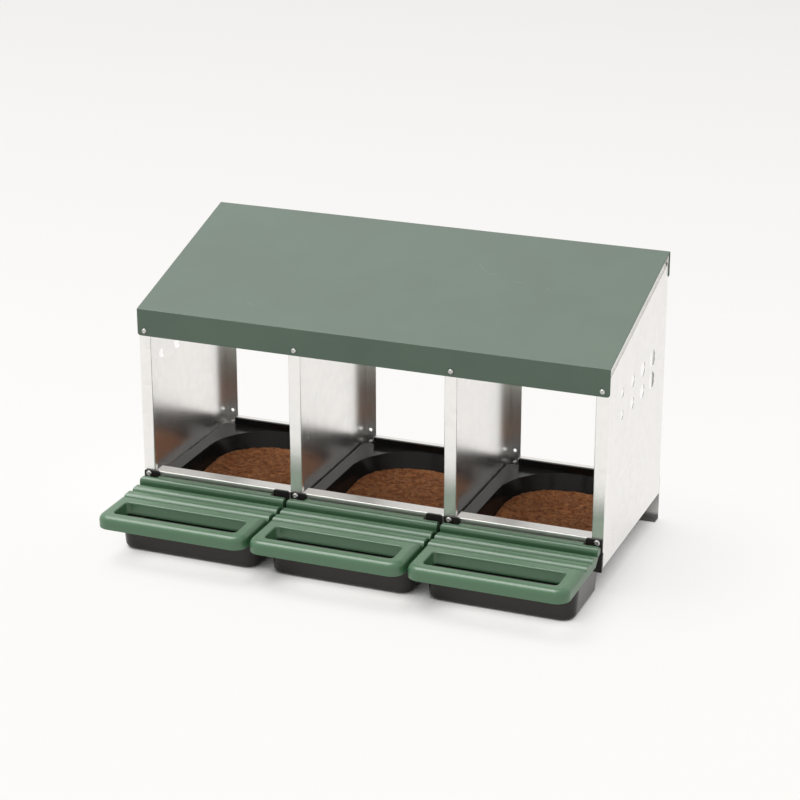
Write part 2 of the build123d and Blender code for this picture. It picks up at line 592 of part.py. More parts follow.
with BuildPart() as lid:
    with BuildSketch(across_x(-LID_HALF)):
        with BuildLine():
            FilletPolyline(*outline, radius=rounds, close=True)
        make_face()
    extrude(amount=2 * LID_HALF)
    add(end_waste(LID_FIRST_TOP, TREAD_END, 0, TREAD_NOSES[0]), mode=Mode.SUBTRACT)
    add(end_waste(LID_TREAD_TOP, TREAD_END, TREAD_NOSES[0], TREAD_NOSES[-1]), mode=Mode.SUBTRACT)
    add(end_waste(LID_FRAME_TOP, FRAME_ROUND, TREAD_NOSES[-1], FRAME_LEVEL), mode=Mode.SUBTRACT)
    add(perch_frame.part)
    add(frame_space.part, mode=Mode.SUBTRACT)
    with BuildSketch(across_x(-LID_HALF + LID_CHEEK)):
        Polygon(*tread_space(), align=None)
    extrude(amount=2 * (LID_HALF - LID_CHEEK), mode=Mode.SUBTRACT)
    with BuildSketch(Plane.XY.offset(LID_BOTTOM)):
        with Locations((-LID_HALF, FRONT - LID_CUT)):
            Rectangle(LID_CUT_SIDE, LID_CUT, align=(Align.MIN, Align.MIN))
        with Locations((LID_HALF, FRONT - LID_CUT)):
            Rectangle(LID_CUT_SIDE, LID_CUT, align=(Align.MAX, Align.MIN))
    extrude(amount=LID_FIRST_TOP, mode=Mode.SUBTRACT)
    with BuildSketch(across_x(-LID_HALF)):
        Polygon(
            (FRONT - LID_CUT - CHEEK_SLANT, LID_BOTTOM),
            (FRONT - LID_CUT, HINGE_HEIGHT - EYE / 2),
            (FRONT, HINGE_HEIGHT - EYE / 2),
            (FRONT, LID_BOTTOM),
            align=None,
        )
    extrude(amount=2 * LID_HALF, mode=Mode.SUBTRACT)
    for side in (-1, 1):
        with BuildSketch(across_x(side * (LID_HALF - LID_CHEEK))):
            with Locations((HINGE_Y, HINGE_HEIGHT)):
                Circle(EYE)
        extrude(amount=side * LID_CHEEK)
        with BuildSketch(across_x(side * (LID_HALF - LID_CHEEK))):
            with Locations((HINGE_Y, HINGE_HEIGHT)):
                Circle(ROD + ROD_CLEAR)
        extrude(amount=side * (LID_CHEEK - ROD_END), mode=Mode.SUBTRACT)
        with BuildSketch(Plane.XY.offset(LID_BOTTOM)):
            with Locations((side * (LID_HALF - LID_WALL / 2 - REST_WIDTH / 2), FRONT - REST_OUT)):
                Rectangle(REST_WIDTH, LID_WALL)
        extrude(amount=LID_FRAME_TOP - FRAME_SKIN - LID_BOTTOM)

with BuildPart() as hinge_rod:
    rod_half = LID_HALF - ROD_END - BOLT_CLEAR
    with BuildSketch(across_x(-rod_half)):
        with Locations((HINGE_Y, HINGE_HEIGHT)):
            Circle(ROD)
    extrude(amount=2 * rod_half)

# The same mouldings in every place; a tray's ears are drilled where a bolt comes through
ear_bolts = [(x, EAR_BOLT_HEIGHT) for x in HOLE_LINES]
mouldings = {"nest_pad": pad, "perch_lid": lid, "hinge_rod": hinge_rod}
for i, x in enumerate(CENTRES):
    with BuildPart() as nest_tray:
        add(tray.part.moved(Location((x, 0, 0))))
        own_bolts = [point for point in ear_bolts if abs(point[0] - x) < PITCH / 2]
        extrude(rounds_at(FRONT, BOLT + BOLT_CLEAR, own_bolts), amount=EAR, mode=Mode.SUBTRACT)
    pieces[f"nest_tray_{i + 1}"] = nest_tray.part
    for name, moulding in mouldings.items():
        pieces[f"{name}_{i + 1}"] = moulding.part.moved(Location((x, 0, 0)))

# Fasteners
front_screws = [(x, FRONT_SCREW_HEIGHT) for x in HOLE_LINES]
rear_screws = [(x, REAR_SCREW_HEIGHT) for x in HOLE_LINES]
foot_bolts = [(x, CHANNEL_BOLT_HEIGHT) for x in HOLE_LINES]
grip = NUT_THICK + 2 * SHEET
pieces["roof_front_screws"] = fasteners(front_screws, FRONT - SHEET, 1, SCREW_HEAD, SCREW, SCREW_LENGTH)
pieces["roof_rear_screws"] = fasteners(rear_screws, REAR + SHEET, -1, SCREW_HEAD, SCREW, SCREW_LENGTH)
pieces["tray_bolts"] = fasteners(ear_bolts, EAR_FACE, 1, BOLT_HEAD, BOLT, EAR + grip)
pieces["tray_nuts"] = nuts(ear_bolts, FRONT + SHEET, -1)
pieces["channel_bolts"] = fasteners(foot_bolts, REAR + SHEET, -1, BOLT_HEAD, BOLT, SHEET + grip)
pieces["channel_nuts"] = nuts(foot_bolts, REAR - SHEET, 1)
pieces["sill_screws"] = fasteners(sill_points, FRONT + SHEET, -1, RIVET_HEAD, RIVET, EAR - BOLT_CLEAR)
with BuildPart() as sill_rivets:
    for web in WEBS[1:-1]:
        for start, radius, length in (
            (web - SHEET - RIVET_HEIGHT, RIVET_HEAD, RIVET_HEIGHT),
            (web - SHEET, RIVET, 2 * SHEET),
            (web + SHEET, RIVET_HEAD, RIVET_HEIGHT),
        ):
            with BuildSketch(across_x(start)):
                with Locations((FRONT + SILL_DEPTH / 2, SILL_TOP - SILL_TAB / 2)):
                    Circle(radius)
            extrude(amount=length)
pieces["sill_rivets"] = sill_rivets.part

for name, piece in pieces.items():
    piece.label = name
    export_step(piece, f"parts/{name}.step")
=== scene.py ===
"""Finishes for a three-place roll-away nest box: sheet steel, paint, moulded plastic and coir."""

import math
import random

import bmesh
import bpy
from mathutils import Matrix, Vector, noise
from mathutils.bvhtree import BVHTree


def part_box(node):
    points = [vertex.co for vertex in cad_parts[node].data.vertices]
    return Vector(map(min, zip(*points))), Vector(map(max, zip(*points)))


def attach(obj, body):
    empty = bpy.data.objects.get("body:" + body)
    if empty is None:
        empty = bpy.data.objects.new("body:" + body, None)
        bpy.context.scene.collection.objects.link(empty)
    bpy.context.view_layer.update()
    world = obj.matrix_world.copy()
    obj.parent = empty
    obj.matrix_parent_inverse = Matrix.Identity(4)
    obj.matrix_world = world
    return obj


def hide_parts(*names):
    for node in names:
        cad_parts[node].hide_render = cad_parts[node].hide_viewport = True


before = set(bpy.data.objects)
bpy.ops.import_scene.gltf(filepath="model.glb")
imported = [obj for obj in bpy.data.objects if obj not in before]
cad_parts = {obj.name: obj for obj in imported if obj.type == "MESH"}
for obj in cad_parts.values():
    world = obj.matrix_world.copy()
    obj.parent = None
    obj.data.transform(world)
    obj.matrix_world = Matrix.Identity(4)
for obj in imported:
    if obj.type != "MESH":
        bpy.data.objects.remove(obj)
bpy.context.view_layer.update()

bl_info = {
    "name": "Nest Box Finishes",
    "version": (1, 0, 0),
    "blender": (4, 5, 0),
    "location": "View3D > Sidebar > Nest Box",
    "description": "Dresses a three-place nest box in sheet steel, paint, moulded plastic and coir",
    "category": "Object",
}

MM = 0.001
PLACES = (1, 2, 3)
FRONT_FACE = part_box("partition_1")[0][1]
FINISH_OF = {name: node.material_slots[0].material.name for name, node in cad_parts.items()}

# Shared effects
NOISE_LOW, NOISE_HIGH = 0.3, 0.7          # between these lie nearly all values of a noise
SPANGLE_SIZE = 14 * MM
CRYSTAL_BEND = 6 * MM                     # how far the crystals' borders wander
SHEET_CLOUD = 7.0                         # clouds in the zinc per metre
ROLLING = (420.0, 420.0, 9.0)             # rolling streaks per metre, long in height
EDGE_FLAT, EDGE_SHARP = 0.985, 0.80       # from none to a full edge mark, which is wear and on the roof also a painted highlight, by how far the rounded normal turns
EDGE_SAMPLES = 6
WEAR_HIGHLIGHT_LOW, WEAR_HIGHLIGHT_HIGH = 0.38, 0.66          # patches of wear, and on the roof of painted highlight, along an edge
WEAR_HIGHLIGHT_LEAST = 0.15
DUST_LIGHT_STEEP, DUST_LIGHT_LEVEL = 0.35, 0.95       # from none to full dust and painted light from above, by how far a face looks up
DUST_LIGHT_LEAST = 0.75
SCRATCH_WANDER = 40.0                     # wiggles of a scratch per metre
SCRATCH_SWAY = 2 * MM
SCRATCH_RISE, SCRATCH_FALL = 0.3, 0.6     # where a scratch is full, along its length

# Sheet steel and plated fasteners
MOTTLE_LOW, MOTTLE_HIGH = 0.05, 0.75      # crystal times cloud, for the tint
MOTTLE_ROUGH = 0.7                        # the same, for the roughness
MOTTLE_MOST = 0.28
STREAK_ROUGH = 0.012
SHEET_SMOOTHER, SHEET_ROUGHER = 0.01, 0.02
SILL_ROUGH = 0.08                      # added roughness of the sills
CHANNEL_ROUGH = 0.04                      # added roughness of the rear channel
PLATE_DULL = 0.7
PLATE_SMOOTH, PLATE_ROUGH = 0.22, 0.4

# Roof paint: where each scratch starts, how it is turned in degrees, and its length
SCRATCHES = (
    ((0.119, 0.189, 0.0), 44.0, 46 * MM),
    ((0.148, 0.157, 0.0), 6.0, 34 * MM),
    ((0.203, 0.143, 0.0), 9.0, 32 * MM),
    ((0.279, 0.124, 0.0), -60.0, 12 * MM),
    ((-0.270, -0.020, 0.0), 25.0, 26 * MM),
)
SCRATCH_WIDTH = 0.45 * MM
SCRATCH_MOST = 0.45
PAINT_CLOUD = 160 * MM
PAINT_LIGHT, PAINT_DARK = 1.10, 0.93
PAINT_SMOOTHER, PAINT_ROUGHER = 0.03, 0.04
# Share of the lighter edge colour on the roof: partly wear, partly a painted highlight along the folds.
PAINT_WEAR_AND_HIGHLIGHT = 0.35

# Moulded plastic
PLASTIC_CLOUD = 55 * MM
PLASTIC_LIGHT, PLASTIC_DARK = 1.12, 0.9
PLASTIC_SMOOTHER, PLASTIC_ROUGHER = 0.015, 0.02
PLASTIC_WORN = 0.4
DUST_LIGHT_PATCH = 40 * MM
SHADED, SUNLIT = FRONT_FACE + 4 * MM, FRONT_FACE - 6 * MM    # where the painted light on the trays begins, behind the uprights' front, and where it is full, in front of it
LIT_MOST = 0.9

# Coir
FELT_TURNS = (12.0, 73.0, 131.0)          # degrees, the ways that the felt's fibres run
FELT_DRAWN = (70.0, 900.0, 500.0)         # streaks per metre along, across and through
FELT_GAP, FELT_FULL = 0.40, 0.68
CLUMP_SHADE = 0.45
FIBRE_SHADE = 0.15                        # least shade of a loose fibre
LUMPS = ((28.0, 0.7), (130.0, 0.45), (400.0, 0.35))          # lumps per metre, and their share
PAD_SKEW = 0.7                            # sideways offset of the lumps from pad to pad
UPPER_SLOPE, UPPER_START = 1.6, 0.9       # how fast the felt evens out down the pad's sides
CLIMB_BAND = 45 * MM                      # rim that climbs the bowl wall
CLIMB_START = 150 * MM                    # from the front edge to full climb
CLIMB_REAR = 0.15                         # share of the climb at the rear of the bowl
CLIMB_OUT = 0.3                           # outward lean of the climbing rim
UPPER_FACE = 0.05                         # least upward normal of a face that carries fibres
FIBRE_POINTS = 6
FIBRE_SIDES = 3
FIBRE_SHORT = 0.35                        # shortest fibre as a share of the longest
FIBRE_CURL, FIBRE_KINK = 0.5, 0.25        # radians at each point, steady and by chance
FIBRE_LIFT = 1.6                          # millimetres, at a fibre's ends
FIBRE_SIT = 0.6                           # radii from the felt to a fibre's middle
FIBRE_THIN, FIBRE_THICK = 0.6, 1.15
FIBRE_TIP = 0.5

# Stage
FLOOR_REACH = 30.0
FLOOR_NEAR, FLOOR_FAR = 0.5, 6.0          # where the floor's painted falloff of light begins and ends
FLOOR_GREY = 0.84
SHADOW_REACH = 0.16
SHADOW_SAMPLES = 8
SHADOW_DEEP, SHADOW_CLEAR = 0.12, 0.62
KEY_SPREAD, KEY_HEADING = 36.0, (0.34, 0.03, -0.94)
SHEEN_SPREAD, SHEEN_HEADING = 40.0, (0.355, -0.384, -0.853)
SENSOR_WIDTH = 36.0                       # millimetres
SIGHT = 100.0


def colour(name, description, default):
    """A colour that the user may change."""
    return bpy.props.FloatVectorProperty(
        name=name, description=description, default=default, subtype="COLOR", size=4, min=0.0, max=1.0
    )


def share(name, description, default):
    """A value from 0 to 1 that the user may change."""
    return bpy.props.FloatProperty(
        name=name, description=description, default=default, subtype="FACTOR", min=0.0, max=1.0
    )


def length(name, description, default):
    """A length in metres that the user may change."""
    return bpy.props.FloatProperty(
        name=name, description=description, default=default,
        subtype="DISTANCE", unit="LENGTH", min=0.0, precision=5,
    )


def level(name, description, default):
    """A strength without an upper end that the user may change."""
    return bpy.props.FloatProperty(name=name, description=description, default=default, min=0.0)


def angle(name, description, degrees):
    """An angle that the user may change."""
    return bpy.props.FloatProperty(
        name=name, description=description, default=math.radians(degrees), subtype="ANGLE"
    )


class NestBoxSteel(bpy.types.PropertyGroup):
    """Galvanised sheet and zinc plated fasteners"""

    zinc: colour("Zinc", "Colour of the galvanised sheet", (0.945, 0.930, 0.912, 1.0))
    dull: colour("Dull zinc", "Colour of its duller crystals", (0.80, 0.785, 0.765, 1.0))
    roughness: share("Roughness", "Roughness of the sheet", 0.25)
    bare: share("Bare", "How much of the sheet is bright metal, not dull bloom", 0.90)
    spangle: length("Spangle", "Size of the zinc crystals", SPANGLE_SIZE)
    # Painted shade: a darker zinc that tones down the lamps' reflection on the sills' level tops; the rear
    # channel's crystals take it too.
    dimmed_zinc: colour("Trodden", "Colour of the sills, dulled by the hens' feet", (0.72, 0.707, 0.688, 1.0))
    plated: colour("Plated", "Colour of the fasteners", (0.72, 0.71, 0.69, 1.0))


class NestBoxPaint(bpy.types.PropertyGroup):
    """Painted roof sheet"""

    green: colour("Green", "Colour of the roof paint", (0.098, 0.152, 0.110, 1.0))
    # The lighter colour of the roof's scratches and edges; on the edges it is partly wear and partly a
    # painted highlight along the folds.
    lightened: colour("Worn", "Colour of worn edges and faint scratches", (0.30, 0.34, 0.30, 1.0))
    roughness: share("Roughness", "Roughness of the paint", 0.36)
    peel: length("Peel", "Size of the ripple in the paint film", 1.6 * MM)


class NestBoxPlastic(bpy.types.PropertyGroup):
    """Moulded lids and trays"""

    lid: colour("Lid", "Colour of the perch lids", (0.074, 0.186, 0.091, 1.0))
    rubbed: colour("Rubbed", "Colour of the lids' rubbed edges", (0.17, 0.29, 0.18, 1.0))
    tray: colour("Tray", "Colour of the nest trays", (0.017, 0.0165, 0.016, 1.0))
    scuffed: colour("Scuffed", "Colour of the trays' scuffed edges", (0.06, 0.058, 0.056, 1.0))
    # Painted light: the troughs and ears in front of the uprights are made lighter than the bowls in the
    # shade of the box.
    lit: colour("Lit", "Colour of the troughs, bleached by the sun", (0.054, 0.050, 0.047, 1.0))
    # Partly dust, partly painted light from above, on the upper faces.
    dust: colour("Dust", "Colour of the dust on the upper faces", (0.56, 0.54, 0.48, 1.0))
    lid_roughness: share("Lid roughness", "Roughness of the perch lids", 0.34)
    lid_gloss: share("Lid gloss", "Specular level of the perch lids", 0.76)
    lid_dust_light: share("Lid dust", "How thick the dust lies on the perch lids", 0.04)
    tray_roughness: share("Tray roughness", "Roughness of the nest trays", 0.16)
    tray_gloss: share("Tray gloss", "Specular level of the nest trays", 0.2)
    tray_dust_light: share("Tray dust", "How thick the dust lies on the nest trays", 0.02)
    grain: length("Grain", "Size of the moulded grain", 0.7 * MM)


class NestBoxCoir(bpy.types.PropertyGroup):
    """Coir pads"""

    # These coir colours are written brighter than real coir: painted light that makes up for the deep
    # shade the pads lie in under the roof.
    husk: colour("Husk", "Colour of the brightest fibres", (0.88, 0.378, 0.157, 1.0))
    straw: colour("Straw", "Colour of the palest loose fibres", (0.88, 0.431, 0.194, 1.0))
    bark: colour("Bark", "Colour of the darkest fibres", (0.387, 0.125, 0.041, 1.0))
    fibres: bpy.props.IntProperty(
        name="Fibres", description="Loose fibres on each pad", default=3000, min=0
    )
    fibre_radius: length("Fibre radius", "Radius of a fibre", 0.42 * MM)
    fibre_length: length("Fibre length", "Length of the longest fibre", 46 * MM)
    clump: length("Clump", "Size of the paler and darker clumps", 9 * MM)
    tuft: length("Tuft", "Height of the uneven felt", 1.8 * MM)
    climb: length("Climb", "How far the mat's sides climb the bowl wall", 12 * MM)
    voxel: length("Felt mesh", "Size of the felt's mesh", 3.4 * MM)
    seed: bpy.props.IntProperty(name="Seed", description="Start of the random draws", default=7, min=0)


class NestBoxStudio(bpy.types.PropertyGroup):
    """Floor, lamps and camera"""

    floor: colour("Floor", "Colour of the floor", (0.985, 0.972, 0.955, 1.0))
    shadow_fill: share("Shadow fill", "How much of the floor's own white shows in the shadow", 0.82)
    sky_level: share("Sky", "Strength of the light from all round", 0.34)
    key_level: level("Key", "Strength of the lamp overhead", 1.7)
    sheen_level: level("Sheen", "Strength of the lamp behind", 0.5)
    camera_place: bpy.props.FloatVectorProperty(
        name="Camera",
        description="Where the camera stands",
        default=(1.5464, FRONT_FACE - 3.7567, 1.8460),
        subtype="TRANSLATION",
    )
    camera_turn: angle("Turn", "Camera's angle round the box", 21.47)
    camera_drop: angle("Drop", "Camera's angle below the horizon", 20.61)
    lens: bpy.props.FloatProperty(
        name="Lens", description="Focal length in millimetres", default=105.24, min=1.0
    )


class NestBoxSettings(bpy.types.PropertyGroup):
    """All sizes and colours of the nest box"""

    steel: bpy.props.PointerProperty(type=NestBoxSteel)
    paint: bpy.props.PointerProperty(type=NestBoxPaint)
    plastic: bpy.props.PointerProperty(type=NestBoxPlastic)
    coir: bpy.props.PointerProperty(type=NestBoxCoir)
    studio: bpy.props.PointerProperty(type=NestBoxStudio)


# Shader building


def feed(tree, socket, value):
    """Link a socket's output into an input, or set the input to a value."""
    if isinstance(value, bpy.types.NodeSocket):
        tree.links.new(value, socket)
    else:
        socket.default_value = value


def add_node(tree, kind, values=None, **settings):
    """Add a shader node, set its settings, and set or link its inputs."""
    node = tree.nodes.new("ShaderNode" + kind)
    for key, value in settings.items():
        setattr(node, key, value)
    for key, value in (values or {}).items():
        feed(tree, node.inputs[key], value)
    return node


def effect(name, inputs, outputs):
    """Start a shader node group; returns its tree, its inputs and a way to set its outputs."""
    tree = bpy.data.node_groups.new(name, "ShaderNodeTree")
    for label, (kind, default) in inputs.items():
        socket = tree.interface.new_socket(label, in_out="INPUT", socket_type="NodeSocket" + kind)
        if default is not None:
            socket.default_value = default
    for label, kind in outputs.items():
        tree.interface.new_socket(label, in_out="OUTPUT", socket_type="NodeSocket" + kind)
    entry = tree.nodes.new("NodeGroupInput")
    leave = tree.nodes.new("NodeGroupOutput")

    def put_out(label, socket):
        tree.links.new(socket, leave.inputs[label])

    return tree, entry.outputs, put_out


def use_effect(tree, name, values):
    """Place one of the effects in a material with its own values."""
    return add_node(tree, "Group", values, node_tree=bpy.data.node_groups[name]).outputs


def mix_colours(tree, factor, first, second):
    """Blend two colours by a factor."""
    node = tree.nodes.new("ShaderNodeMix")
    node.data_type = "RGBA"
    factor_input, first_input, second_input = node.inputs[0], node.inputs[6], node.inputs[7]
    for socket, value in ((factor_input, factor), (first_input, first), (second_input, second)):
        feed(tree, socket, value)
    result = node.outputs[2]
    return result


def remap(tree, value, low, high, to_low, to_high):
    """Stretch a value from one range to another, kept within it."""
    node = add_node(tree, "MapRange", {"Value": value, 1: low, 2: high, 3: to_low, 4: to_high})
    return node.outputs["Result"]


def spread(tree, value, to_low, to_high):
    """Stretch a noise over a range."""
    return remap(tree, value, NOISE_LOW, NOISE_HIGH, to_low, to_high)


def part_of(tree, mask, most):
    """A mask from 0 to 1, weakened to go up to a part of 1."""
    return remap(tree, mask, 0.0, 1.0, 0.0, most)


def calculate(tree, operation, first, second=0.0):
    """One sum on two values."""
    return add_node(tree, "Math", {0: first, 1: second}, operation=operation).outputs[0]


def noise_of_size(tree, place, size, detail):
    """Noise whose features have a given size."""
    scale = calculate(tree, "DIVIDE", 1.0, size)
    return add_node(tree, "TexNoise", {"Vector": place, "Scale": scale, "Detail": detail})


def make_grain_effect():
    """Fine grain of a given size, from 0 to 1."""
    tree, entry, put_out = effect(
        "Fine grain", {"Place": ("Vector", None), "Size": ("Float", 1 * MM)}, {"Height": "Float"}
    )
    grain = noise_of_size(tree, entry["Place"], entry["Size"], detail=2.0)
    grain.inputs["Roughness"].default_value = 0.6
    put_out("Height", grain.outputs["Fac"])


def make_spangle_effect():
    """Zinc sheet: a tint for each crystal, a slow cloud over many of them, and rolling streaks."""
    tree, entry, put_out = effect(
        "Spangle",
        {"Place": ("Vector", None), "Size": ("Float", SPANGLE_SIZE)},
        {"Crystal": "Float", "Cloud": "Float", "Streak": "Float"},
    )
    warp = noise_of_size(tree, entry["Place"], entry["Size"], detail=2.0)
    bend = add_node(
        tree, "VectorMath", {0: warp.outputs["Color"], "Scale": CRYSTAL_BEND}, operation="SCALE"
    )
    place = add_node(tree, "VectorMath", {0: entry["Place"], 1: bend.outputs[0]}, operation="ADD")
    scale = calculate(tree, "DIVIDE", 1.0, entry["Size"])
    cells = add_node(tree, "TexVoronoi", {"Vector": place.outputs[0], "Scale": scale})
    tint = add_node(tree, "SeparateColor", {"Color": cells.outputs["Color"]})
    cloud = add_node(tree, "TexNoise", {"Vector": entry["Place"], "Scale": SHEET_CLOUD, "Detail": 3.0})
    drawn = add_node(tree, "Mapping", {"Vector": entry["Place"], "Scale": ROLLING})
    streak = add_node(tree, "TexNoise", {"Vector": drawn.outputs[0], "Scale": 1.0, "Detail": 2.0})
    put_out("Crystal", tint.outputs[0])
    put_out("Cloud", cloud.outputs["Fac"])
    put_out("Streak", streak.outputs["Fac"])


def make_edge_effect():
    """A mask of rubbed edges, which the roof also uses for a painted highlight along its folds, and the
    softened normal of a piece's sharp corners.
    """
    tree, entry, put_out = effect(
        "Edge wear and highlight",
        {"Place": ("Vector", None), "Radius": ("Float", 1 * MM), "Breakup": ("Float", 25 * MM)},
        {"Mask": "Float", "Normal": "Vector"},
    )
    normal = tree.nodes.new("ShaderNodeNewGeometry").outputs["Normal"]
    rounded = add_node(tree, "Bevel", {"Radius": entry["Radius"]}, samples=EDGE_SAMPLES).outputs[0]
    facing = add_node(tree, "VectorMath", {0: normal, 1: rounded}, operation="DOT_PRODUCT")
    edge = remap(tree, facing.outputs["Value"], EDGE_FLAT, EDGE_SHARP, 0.0, 1.0)
    patches = noise_of_size(tree, entry["Place"], entry["Breakup"], detail=4.0)
    broken = remap(tree, patches.outputs["Fac"], WEAR_HIGHLIGHT_LOW, WEAR_HIGHLIGHT_HIGH, WEAR_HIGHLIGHT_LEAST, 1.0)
    put_out("Mask", calculate(tree, "MULTIPLY", edge, broken))
    put_out("Normal", rounded)


def make_dust_and_top_light_effect():
    """Dust that settles in uneven patches on what faces up, standing also for painted light from above."""
    tree, entry, put_out = effect(
        "Dust and top light",
        {"Place": ("Vector", None), "Facing": ("Vector", None), "Breakup": ("Float", DUST_LIGHT_PATCH)},
        {"Mask": "Float"},
    )
    upward = add_node(tree, "SeparateXYZ", {"Vector": entry["Facing"]}).outputs["Z"]
    lying = remap(tree, upward, DUST_LIGHT_STEEP, DUST_LIGHT_LEVEL, 0.0, 1.0)
    patches = noise_of_size(tree, entry["Place"], entry["Breakup"], detail=4.0)
    uneven = spread(tree, patches.outputs["Fac"], DUST_LIGHT_LEAST, 1.0)
    put_out("Mask", calculate(tree, "MULTIPLY", lying, uneven))


def make_scratch_effect():
    """One thin scratch that starts at a point and runs along a turned line, fading at its ends."""
    tree, entry, put_out = effect(
        "Scratch",
        {
            "Place": ("Vector", None),
            "Start": ("Vector", (0.0, 0.0, 0.0)),
            "Turn": ("Float", 0.0),
            "Length": ("Float", 60 * MM),
            "Width": ("Float", SCRATCH_WIDTH),
        },
        {"Mask": "Float"},
    )
    offset = add_node(tree, "VectorMath", {0: entry["Place"], 1: entry["Start"]}, operation="SUBTRACT")
    turned = add_node(
        tree,
        "VectorRotate",
        {"Vector": offset.outputs[0], "Angle": entry["Turn"]},
        rotation_type="Z_AXIS",
    )
    axes = add_node(tree, "SeparateXYZ", {"Vector": turned.outputs[0]})
    wander = add_node(tree, "TexNoise", {"Vector": entry["Place"], "Scale": SCRATCH_WANDER})
    sway = remap(tree, wander.outputs["Fac"], 0.0, 1.0, -SCRATCH_SWAY, SCRATCH_SWAY)
    aside = calculate(tree, "ABSOLUTE", calculate(tree, "ADD", axes.outputs["Y"], sway))
    line = calculate(tree, "LESS_THAN", aside, entry["Width"])
    along = calculate(tree, "DIVIDE", axes.outputs["X"], entry["Length"])
    rise = remap(tree, along, 0.0, SCRATCH_RISE, 0.0, 1.0)
    fall = remap(tree, along, 1.0, SCRATCH_FALL, 0.0, 1.0)
    put_out("Mask", calculate(tree, "MULTIPLY", line, calculate(tree, "MULTIPLY", rise, fall)))


# Finishes


def start_material(name):
    """A new material with its node tree, its shader and the place on the piece."""
    material = bpy.data.materials.new(name)
    material.use_nodes = True
    tree = material.node_tree
    shader = tree.nodes["Principled BSDF"]
    place = tree.nodes.new("ShaderNodeTexCoord").outputs["Object"]
    return material, tree, shader, place


def link_normal(tree, shader, height, strength, distance, normal=None):
    """Raise a height over the surface."""
    values = {"Strength": strength, "Distance": distance, "Height": height}
    if normal is not None:
        values["Normal"] = normal
    bump = add_node(tree, "Bump", values)
    tree.links.new(bump.outputs["Normal"], shader.inputs["Normal"])


def shaded(base, factor):
    """A colour made lighter or darker by a factor."""
    return tuple(factor * channel for channel in base[:3]) + (1.0,)


def galvanised_sheet(name, zinc, dull, roughness, steel):
    """Bright galvanised sheet with faint crystals and rolling streaks."""
    material, tree, shader, place = start_material(name)
    spangle = use_effect(tree, "Spangle", {"Place": place, "Size": steel.spangle})
    edges = use_effect(tree, "Edge wear and highlight", {"Place": place, "Radius": 0.5 * MM, "Breakup": 30 * MM})
    mottle = calculate(tree, "MULTIPLY", spangle["Crystal"], spangle["Cloud"])
    dulled = remap(tree, mottle, MOTTLE_LOW, MOTTLE_HIGH, 0.0, MOTTLE_MOST)
    tint = mix_colours(tree, dulled, tuple(zinc), tuple(dull))
    tree.links.new(tint, shader.inputs["Base Color"])
    drawn = spread(tree, spangle["Streak"], -STREAK_ROUGH, STREAK_ROUGH)
    smoothest, roughest = roughness - SHEET_SMOOTHER, roughness + SHEET_ROUGHER
    patchy = remap(tree, mottle, MOTTLE_LOW, MOTTLE_ROUGH, smoothest, roughest)
    tree.links.new(calculate(tree, "ADD", patchy, drawn), shader.inputs["Roughness"])
    shader.inputs["Metallic"].default_value = steel.bare
    link_normal(
        tree, shader, spangle["Crystal"], strength=0.012, distance=0.03 * MM, normal=edges["Normal"]
    )
    return material


def zinc_plate(steel):
    """Plated fasteners and hinge rods."""
    material, tree, shader, place = start_material("Zinc plate")
    grain = use_effect(tree, "Fine grain", {"Place": place, "Size": 1.2 * MM})
    edges = use_effect(tree, "Edge wear and highlight", {"Place": place, "Radius": 1.4 * MM, "Breakup": 4 * MM})
    tint = mix_colours(tree, grain["Height"], tuple(steel.plated), shaded(steel.plated, PLATE_DULL))
    tree.links.new(tint, shader.inputs["Base Color"])
    patchy = spread(tree, grain["Height"], PLATE_SMOOTH, PLATE_ROUGH)
    tree.links.new(patchy, shader.inputs["Roughness"])
    shader.inputs["Metallic"].default_value = 1.0
    link_normal(
        tree, shader, grain["Height"], strength=0.1, distance=0.05 * MM, normal=edges["Normal"]
    )
    return material


def roof_paint(paint):
    """Satin paint with a fine ripple, a slow cloud, a few faint scratches, and lighter edges that are
    partly wear and partly a painted highlight along the folds.
    """
    material, tree, shader, place = start_material("Roof paint")
    ripple = use_effect(tree, "Fine grain", {"Place": place, "Size": paint.peel})
    cloud = use_effect(tree, "Fine grain", {"Place": place, "Size": PAINT_CLOUD})
    edges = use_effect(tree, "Edge wear and highlight", {"Place": place, "Radius": 2.2 * MM, "Breakup": 18 * MM})
    dark, light = shaded(paint.green, PAINT_DARK), shaded(paint.green, PAINT_LIGHT)
    tint = mix_colours(tree, spread(tree, cloud["Height"], 0.0, 1.0), dark, light)
    # Lighter edges: partly wear, partly a painted highlight along the folds.
    marks_and_highlight = part_of(tree, edges["Mask"], PAINT_WEAR_AND_HIGHLIGHT)
    for start, turn, reach in SCRATCHES:
        scratch = use_effect(
            tree,
            "Scratch",
            {
                "Place": place,
                "Start": start,
                "Turn": math.radians(turn),
                "Length": reach,
                "Width": SCRATCH_WIDTH,
            },
        )
        marks_and_highlight = calculate(tree, "MAXIMUM", marks_and_highlight, part_of(tree, scratch["Mask"], SCRATCH_MOST))
    tree.links.new(mix_colours(tree, marks_and_highlight, tint, tuple(paint.lightened)), shader.inputs["Base Color"])
    smoothest, roughest = paint.roughness - PAINT_SMOOTHER, paint.roughness + PAINT_ROUGHER
    patchy = spread(tree, cloud["Height"], smoothest, roughest)
    tree.links.new(patchy, shader.inputs["Roughness"])
    link_normal(
        tree, shader, ripple["Height"], strength=0.10, distance=0.05 * MM, normal=edges["Normal"]
    )
    return material


